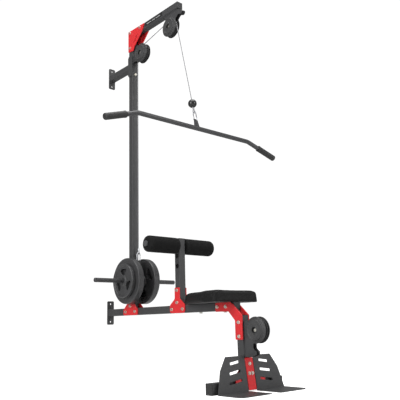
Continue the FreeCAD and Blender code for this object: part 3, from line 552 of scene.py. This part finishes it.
def grip_profile(length):
    points = [(0.0, BAR_RADIUS + 0.0001)]
    points += rounded((0.0, COLLAR_RADIUS), 0.0006, (0.0, 0.0), (0.01, COLLAR_RADIUS), 3)
    points += rounded((0.007, COLLAR_RADIUS), 0.0006, (0.0, COLLAR_RADIUS), (0.007, 0.0), 3)
    points += [(0.0078, GRIP_RADIUS)]
    for i in range(22):
        at = 0.012 + i * 0.0048
        points += [(at, GRIP_RADIUS), (at + 0.0009, GRIP_RADIUS - 0.0005), (at + 0.0018, GRIP_RADIUS)]
    points += rounded((length, GRIP_RADIUS), 0.006, (0.0, GRIP_RADIUS), (length, 0.0), 5)
    points += [(length, 0.006), (length - 0.0012, 0.005), (length - 0.0012, 0.0)]
    return points


grip_rubber = moulded("grip rubber", (0.014, 0.014, 0.014), 0.50, 900.0, 0.00010)
for side, word in ((-1, "left"), (1, "right")):
    start = BAR_MIDDLE + Vector((side * BEND_OUT, 0, 0))
    end = BAR_MIDDLE + Vector((side * END_OUT, 0, 0)) + HANG * END_DROP
    slope = (end - start).normalized()
    inner = start + slope * (GRIP_FROM_BEND / abs(slope.x))
    length = (end - inner).length + 0.005
    up_side = slope.cross(Vector((0, 1, 0))).normalized()
    up_side = (up_side - slope * up_side.dot(slope)).normalized()
    grip = turned(grip_profile(length), inner, slope, up_side, 40)
    finished(grip, word + "_hand_grip", grip_rubber, "pull_bar", ["bar_grips"], 50.0)

# %% [markdown]
# Steel cable is six strands laid round a core. One short length is modelled: a circle whose every
# fourth point is pulled in makes six lobes, and extruding it while it turns gives the twist. An
# Array modifier then repeats it, and a Curve modifier bends it over the pulleys where needed.

# %% One lay of cable
CABLE_RADIUS = 0.0025
LAY = 0.028
LAY_STEPS = 12
VALLEY = 0.74


def cable_piece(length):
    """A straight twisted cable that runs from the origin along X."""
    lays = max(1, round(length / LAY))
    step = length / lays / LAY_STEPS
    bpy.ops.object.select_all(action="DESELECT")
    bpy.ops.mesh.primitive_circle_add(vertices=24, radius=CABLE_RADIUS, rotation=(0, math.pi / 2, 0))
    obj = bpy.context.object
    bpy.ops.object.transform_apply(location=True, rotation=True, scale=True)
    valleys = [v.index for v in obj.data.vertices if v.index % 4 == 0]
    bpy.ops.object.mode_set(mode="EDIT")
    bpy.ops.mesh.select_mode(type="VERT")
    shape = bmesh.from_edit_mesh(obj.data)
    bpy.ops.mesh.select_all(action="DESELECT")
    shape.verts.ensure_lookup_table()
    for index in valleys:
        shape.verts[index].select_set(True)
    bmesh.update_edit_mesh(obj.data)
    bpy.ops.transform.resize(value=(1, VALLEY, VALLEY), center_override=(0, 0, 0))
    bpy.ops.mesh.select_all(action="SELECT")
    for _ in range(LAY_STEPS):
        bpy.ops.mesh.extrude_region_move(TRANSFORM_OT_translate={"value": (step, 0, 0)})
        bpy.ops.transform.rotate(value=2 * math.pi / LAY_STEPS, orient_axis="X", center_override=(0, 0, 0))
    bpy.ops.object.mode_set(mode="OBJECT")
    repeat = obj.modifiers.new("repeat", "ARRAY")
    repeat.count = lays
    repeat.use_merge_vertices = True
    repeat.merge_threshold = 0.00005
    bpy.ops.object.modifier_apply(modifier=repeat.name)
    bpy.ops.object.mode_set(mode="EDIT")
    for end in (0.0, length):
        select_parts(obj, "verts", lambda middle: abs(middle.x - end) < step / 4)
        bpy.ops.mesh.edge_face_add()
    bpy.ops.mesh.select_all(action="SELECT")
    bpy.ops.mesh.normals_make_consistent(inside=False)
    bpy.ops.object.mode_set(mode="OBJECT")
    return obj


def straight_cable(start, end):
    obj = cable_piece((end - start).length)
    turn = Vector((1, 0, 0)).rotation_difference(end - start)
    obj.data.transform(Matrix.Translation(start) @ turn.to_matrix().to_4x4())
    return obj


# %% The two running lengths
HOOK_CENTRE = 687.5
BAR_HOOK_ALONG = 0.6355
TUCKED_IN = 0.004
EYE_TOP = (28.0 + 9.0 - 2.5 - 3.0 - 1.0 + 9.0 - 1.0 + 18.0) / 1000
rear_top = place(0, 295.0, 1957.0)
rear_low = place(0, 295.0, HOOK_CENTRE) + Vector((0, 0, EYE_TOP - TUCKED_IN))
rear_run = straight_cable(rear_top, rear_low)
finished(rear_run, "rear_cable_run", wire, None, ["carriage_cable"], 60.0)
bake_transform(rear_run)

front_low = CABLE_START + HANG * (BAR_HOOK_ALONG - EYE_TOP + TUCKED_IN)
front_run = straight_cable(CABLE_START, front_low)
finished(front_run, "front_cable_run", wire, None, ["bar_cable"], 60.0)
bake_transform(front_run)

# %% [markdown]
# Over the pulleys the cable follows two arcs and the slope between them. A poly curve with a point
# every few degrees is the guide, and the Curve modifier carries the straight cable onto it.

# %% The cable over the pulleys
WRAP_RADIUS = 0.050
rear_hub, front_hub = place(0, *HUBS["rear"]), place(0, *HUBS["front"])
climb = math.atan2(HUBS["front"][1] - HUBS["rear"][1], HUBS["front"][0] - HUBS["rear"][0])
top_angle = math.pi / 2 + climb


def on_wheel(hub, angle):
    return hub + Vector((0, -math.cos(angle), math.sin(angle))) * WRAP_RADIUS


ARC_POINTS = 24
guide_points = []
for hub, first, last in ((rear_hub, math.pi, top_angle), (front_hub, top_angle, LEAN)):
    guide_points += [on_wheel(hub, first + (last - first) * i / ARC_POINTS) for i in range(ARC_POINTS + 1)]
guide_data = bpy.data.curves.new("guide", "CURVE")
guide_data.dimensions = "3D"
guide_data.twist_mode = "MINIMUM"
spline = guide_data.splines.new("POLY")
spline.points.add(len(guide_points) - 1)
for point, spot in zip(spline.points, guide_points):
    point.co = (*spot, 1.0)
guide = bpy.data.objects.new("guide", guide_data)
bpy.context.scene.collection.objects.link(guide)
wrap_length = sum((b - a).length for a, b in zip(guide_points, guide_points[1:]))
wrap = cable_piece(wrap_length)
bend = wrap.modifiers.new("follow", "CURVE")
bend.object = guide
bend.deform_axis = "POS_X"
only(wrap)
bpy.ops.object.modifier_apply(modifier=bend.name)
bpy.data.objects.remove(guide)
finished(wrap, "pulley_cable_wrap", wire, "frame", ["pulley_cable"], 60.0)
print("cable over the pulleys: %.3f m" % wrap_length)

# %% [markdown]
# The seat is a foam pad under tight vinyl, stapled beneath its board. Air pressure in a short cloth
# simulation is a good stand-in for foam that pushes out: the pad's closed shape is remeshed into
# even cells, its underside is pinned where the board holds it, and the pressure crowns the rest.

# %% The seat pad
PAD_SHRINK = 0.985
PAD_SWELL = 0.007
PAD_CELL = 0.0055
PAD_PRESSURE = 4.0
PAD_FRAMES = 20
pad_low, pad_high = (Vector(corner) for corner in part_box("seat_pad"))
pad_middle = (pad_low + pad_high) / 2
seat = bpy.data.objects.new("seat", frame["nodes"]["seat_pad"].data.copy())
bpy.context.scene.collection.objects.link(seat)
only(seat)
bpy.ops.object.mode_set(mode="EDIT")
bpy.ops.mesh.select_all(action="SELECT")
bpy.ops.mesh.remove_doubles(threshold=0.0001)
bpy.ops.transform.resize(value=(PAD_SHRINK, PAD_SHRINK, 1.0), center_override=pad_middle)
bpy.ops.object.mode_set(mode="OBJECT")
seat.data.remesh_voxel_size = PAD_CELL
bpy.ops.object.voxel_remesh()
rest_points = [v.co.copy() for v in seat.data.vertices]
held = seat.vertex_groups.new(name="held")
held.add([i for i, p in enumerate(rest_points) if p.z < pad_low.z + 0.003], 1.0, "REPLACE")
cloth = seat.modifiers.new("swell", "CLOTH")
cloth.settings.vertex_group_mass = "held"
cloth.settings.use_pressure = True
cloth.settings.uniform_pressure_force = PAD_PRESSURE
cloth.settings.effector_weights.gravity = 0.0
cloth.settings.tension_stiffness = 20.0
for number in range(1, PAD_FRAMES + 1):
    bpy.context.scene.frame_set(number)
swollen = seat.evaluated_get(bpy.context.evaluated_depsgraph_get())
moved = [v.co.copy() for v in swollen.data.vertices]
seat.modifiers.remove(cloth)
for vertex, was, now in zip(seat.data.vertices, rest_points, moved):
    step = now - was
    vertex.co = was + step * min(1.0, PAD_SWELL / max(step.length, 1e-6))
bpy.context.scene.frame_set(1)
smooth = seat.modifiers.new("smooth", "SMOOTH")
smooth.factor, smooth.iterations = 0.5, 3
bpy.ops.object.modifier_apply(modifier=smooth.name)
finer = seat.modifiers.new("finer", "SUBSURF")
finer.levels = finer.render_levels = 1
bpy.ops.object.modifier_apply(modifier=finer.name)
finished(seat, "seat_cushion", seat_vinyl, "frame", ["seat_pad"], 80.0)

# %% [markdown]
# Sheet and cast parts leave the factory with broken edges, and those edges catch the light. A copy
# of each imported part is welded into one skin, its flat triangles are joined into whole faces, and a
# Bevel modifier rounds every edge that is sharper than a set angle. Weighted normals then let the
# big faces shade flat, so only the rounded edges catch the light.


# %% Parts with softened edges
def softened(node, name, radius, material, steps=2, sharp=32.0):
    source = frame["nodes"][node]
    piece = bpy.data.objects.new(name, source.data.copy())
    bpy.context.scene.collection.objects.link(piece)
    only(piece)
    bpy.ops.mesh.customdata_custom_splitnormals_clear()
    bpy.ops.object.mode_set(mode="EDIT")
    bpy.ops.mesh.select_all(action="SELECT")
    bpy.ops.mesh.remove_doubles(threshold=0.00001)
    bpy.ops.mesh.dissolve_limited(angle_limit=math.radians(0.5))
    bpy.ops.mesh.normals_make_consistent(inside=False)
    bpy.ops.object.mode_set(mode="OBJECT")
    edges = piece.modifiers.new("edges", "BEVEL")
    edges.width, edges.segments = radius, steps
    edges.limit_method, edges.angle_limit = "ANGLE", math.radians(sharp)
    edges.use_clamp_overlap = False
    bpy.ops.object.modifier_apply(modifier=edges.name)
    finished(piece, name, material, source["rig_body"], [node], 30.0)
    flat_faces = piece.modifiers.new("flat faces", "WEIGHTED_NORMAL")
    flat_faces.keep_sharp = True
    bpy.ops.object.modifier_apply(modifier=flat_faces.name)
    return piece


SOFT_PARTS = [
    ("top_gusset_plates", "top_gussets", 0.0009, red_coat, "red_brackets"),
    ("mast_base_plates", "mast_foot_plates", 0.0009, red_coat, "red_brackets"),
    ("post_base_plates", "post_foot_plates", 0.0009, red_coat, "red_brackets"),
    ("elbow_plates", "elbow_gussets", 0.0009, red_coat, "red_brackets"),
    ("foot_link_bracket", "foot_link", 0.0008, red_coat, "red_brackets"),
    ("foot_plates", "foot_rests", 0.0007, charcoal_coat, "charcoal_frame"),
    ("wall_plates", "wall_flanges", 0.0009, charcoal_coat, "charcoal_frame"),
    ("strut_cheek_plates", "strut_cheeks", 0.0008, charcoal_coat, "charcoal_frame"),
    ("rear_pulley_bracket", "rear_pulley_forks", 0.0006, charcoal_coat, "charcoal_frame"),
    ("front_pulley_bracket", "front_pulley_forks", 0.0006, charcoal_coat, "charcoal_frame"),
    ("low_pulley_bracket", "low_pulley_forks", 0.0006, charcoal_coat, "charcoal_frame"),
    ("large_weight_plates", "large_iron_plates", 0.0022, enamel, "weight_iron"),
    ("small_weight_plates", "small_iron_plates", 0.0020, enamel, "weight_iron"),
]
for node, name, radius, material, slot in SOFT_PARTS:
    softened(node, name, radius, material, 3 if "iron" in name else 2)

# %% [markdown]
# Where tubes and plates are welded, a bead of overlapping ripples fills the corner. One ripple is a
# small ball, an Array modifier repeats it along the joint, and the runs of one joint are joined.


# %% Weld beads
BEAD = 0.0026
RIPPLE = 0.0019


def weld(name, runs, material, body):
    """Beads of ripples along straight runs, each from a start to an end."""
    beads = []
    for start, end in runs:
        bpy.ops.object.select_all(action="DESELECT")
        bpy.ops.mesh.primitive_uv_sphere_add(segments=12, ring_count=6, radius=BEAD, location=start)
        bead = bpy.context.object
        bpy.ops.object.transform_apply(location=True, rotation=True, scale=True)
        repeat = bead.modifiers.new("repeat", "ARRAY")
        repeat.use_relative_offset, repeat.use_constant_offset = False, True
        repeat.constant_offset_displace = (end - start).normalized() * RIPPLE
        repeat.count = int((end - start).length / RIPPLE) + 1
        bpy.ops.object.modifier_apply(modifier=repeat.name)
        beads.append(bead)
    for bead in beads:
        bead.select_set(True)
    bpy.context.view_layer.objects.active = beads[0]
    bpy.ops.object.join()
    return finished(beads[0], name, material, body, angle=60.0)


def tube_end_runs(out, height, half=20.5):
    """The four sides of a square tube that meets a plate square to the wall's direction."""
    square = ((-half, -half), (half, -half), (half, half), (-half, half))
    corners = [place(x, out, height + z) for x, z in square]
    return [(corner, corners[(i + 1) % 4]) for i, corner in enumerate(corners)]


LEG_FRONT, CROSS_FRONT, CROSS_TOP = 1137.5, 1104.5, 50.5
PLATE_ON_WALL = 6.5
weld("strut_welds", tube_end_runs(PLATE_ON_WALL, 1900.0), charcoal_coat, "frame")
weld("beam_welds", tube_end_runs(PLATE_ON_WALL, 380.0), charcoal_coat, "frame")
leg_runs = [(place(-18, LEG_FRONT, CROSS_TOP), place(18, LEG_FRONT, CROSS_TOP))]
for x in (-20.5, 20.5):
    leg_runs.append((place(x, LEG_FRONT, CROSS_TOP), place(x, CROSS_FRONT, CROSS_TOP)))
weld("leg_welds", leg_runs, charcoal_coat, "frame")
FORK_RUNS = [((592, 2097.5), (698, 2097.5)), ((267.5, 1924), (267.5, 2014)),
             ((1137.5, 154), (1137.5, 204))]
weld("fork_welds", [(place(side * 14.0, *start), place(side * 14.0, *end))
                    for start, end in FORK_RUNS for side in (-1, 1)], charcoal_coat, "frame")
weld("lug_welds", [(place(side * 3.5, 273.3, 574), place(side * 3.5, 273.3, 636)) for side in (-1, 1)],
     charcoal_coat, "carriage")
weld("link_welds", [(place(side * 18.5, 1138.0, 66), place(side * 18.5, 1138.0, 132)) for side in (-1, 1)],
     red_coat, "frame")

# %% [markdown]
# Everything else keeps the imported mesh, which already has the right shape, and gets its finish.
# A dictionary from finish to nodes keeps the list readable, and a check at the end says what is left.

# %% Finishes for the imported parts
PAINTED = {
    charcoal_coat: ["top_arm", "base_beam", "roller_post", "front_leg", "cross_foot", "wall_strut",
                    "carriage_sleeve", "carriage_cheeks", "carriage_lug"],
    mast_coat: ["mast"],
    zinc: ["frame_bolts", "mast_front_bolts", "foot_plate_bolts", "seat_bolts", "pulley_axles"],
    cap_plastic: ["tube_end_caps", "carriage_liners"],
    cap_grey: ["pipe_caps"],
    wheel_plastic: ["rear_pulley_wheel", "front_pulley_wheel", "low_pulley_wheel"],
    race_steel: ["rear_pulley_bearing", "front_pulley_bearing", "low_pulley_bearing"],
    ball_plastic: ["stopper_ball"],
    chrome: ["carriage_snap_hook", "carriage_hook_gate", "carriage_cable_eye",
             "bar_snap_hook", "bar_hook_gate", "bar_cable_eye"],
    bar_coat: ["lat_bar", "bar_eye_plate", "roller_pipe"],
    peg_coat: ["weight_pegs"],
    shoe_rubber: ["cross_foot_shoes", "carriage_buffer"],
    board_paint: ["seat_board"],
    arm_film: ["arm_panels"],
}
for material, names in PAINTED.items():
    for name in names:
        obj = frame["nodes"][name]
        if not obj.material_slots:
            obj.data.materials.append(None)
        for slot in obj.material_slots:
            slot.link = "OBJECT"
            slot.material = material
painted_names = {name for names in PAINTED.values() for name in names}
print("packed parts still without a finish:", sorted(
    name for name, obj in frame["nodes"].items() if name not in painted_names and not obj.hide_render))

# %% [markdown]
# The studio is plain: a pale floor that runs out of sight, a white surround, a broad soft light on
# the user's left, a weaker one on the right and one overhead. The surround looks white to the
# camera but lights the machine less than that, so that black foam stays black. In the same way the
# floor gets a white glow that only the camera sees, which hides its far edge.

# %% Floor and surround
bpy.ops.object.select_all(action="DESELECT")
bpy.ops.mesh.primitive_circle_add(vertices=64, radius=40.0, fill_type="NGON", location=(0, 0, 0))
floor = bpy.context.object
floor.name = "studio_floor"
floor_paint = Finish("studio floor")
FLOOR_GLOW = 0.78
seen = floor_paint.node("ShaderNodeLightPath", {}, {})
pale = floor_paint.blend(floor_paint.noise(0.8, 2.0), (0.78, 0.78, 0.78, 1), (0.80, 0.80, 0.80, 1))
floor.data.materials.append(floor_paint.done({
    "Base Color": pale,
    "Emission Color": floor_paint.blend(seen, (0, 0, 0, 1), (1, 1, 1, 1)), "Emission Strength": FLOOR_GLOW,
    "Roughness": 0.9, "Specular IOR Level": 0.05}))

LIGHT_ON_MACHINE, WHITE_TO_CAMERA = 0.32, 1.05
world = bpy.data.worlds.new("studio")
bpy.context.scene.world = world
world.use_nodes = True
sky = world.node_tree
surround = sky.nodes["Background"]
ray = sky.nodes.new("ShaderNodeLightPath")
level_mix = sky.nodes.new("ShaderNodeMix")
level_mix.inputs[2].default_value = LIGHT_ON_MACHINE
level_mix.inputs[3].default_value = WHITE_TO_CAMERA
sky.links.new(ray.outputs["Is Camera Ray"], level_mix.inputs[0])
sky.links.new(level_mix.outputs[0], surround.inputs["Strength"])
surround.inputs["Color"].default_value = (1, 1, 1, 1)
bpy.context.scene.view_settings.view_transform = "Standard"

# %% [markdown]
# Large lamps give the soft edges of a studio. Each is aimed by turning its own -Z towards a point.


# %% Soft lights
def soft_light(name, spot, aim, size, power):
    lamp = bpy.data.objects.new(name, bpy.data.lights.new(name, "AREA"))
    bpy.context.scene.collection.objects.link(lamp)
    lamp.data.shape, lamp.data.size, lamp.data.size_y = "RECTANGLE", size[0], size[1]
    lamp.data.energy = power
    lamp.location = spot
    lamp.rotation_euler = (Vector(aim) - Vector(spot)).to_track_quat("-Z", "Y").to_euler()
    return lamp


soft_light("left softbox", (-4.2, -0.6, 2.2), (0, 0, 1.0), (2.6, 3.4), 150.0)
soft_light("front softbox", (1.6, -4.4, 2.4), (0, 0, 1.0), (2.4, 3.0), 90.0)
soft_light("overhead softbox", (0.0, -0.6, 4.6), (0, -0.1, 0.0), (3.4, 3.4), 140.0)
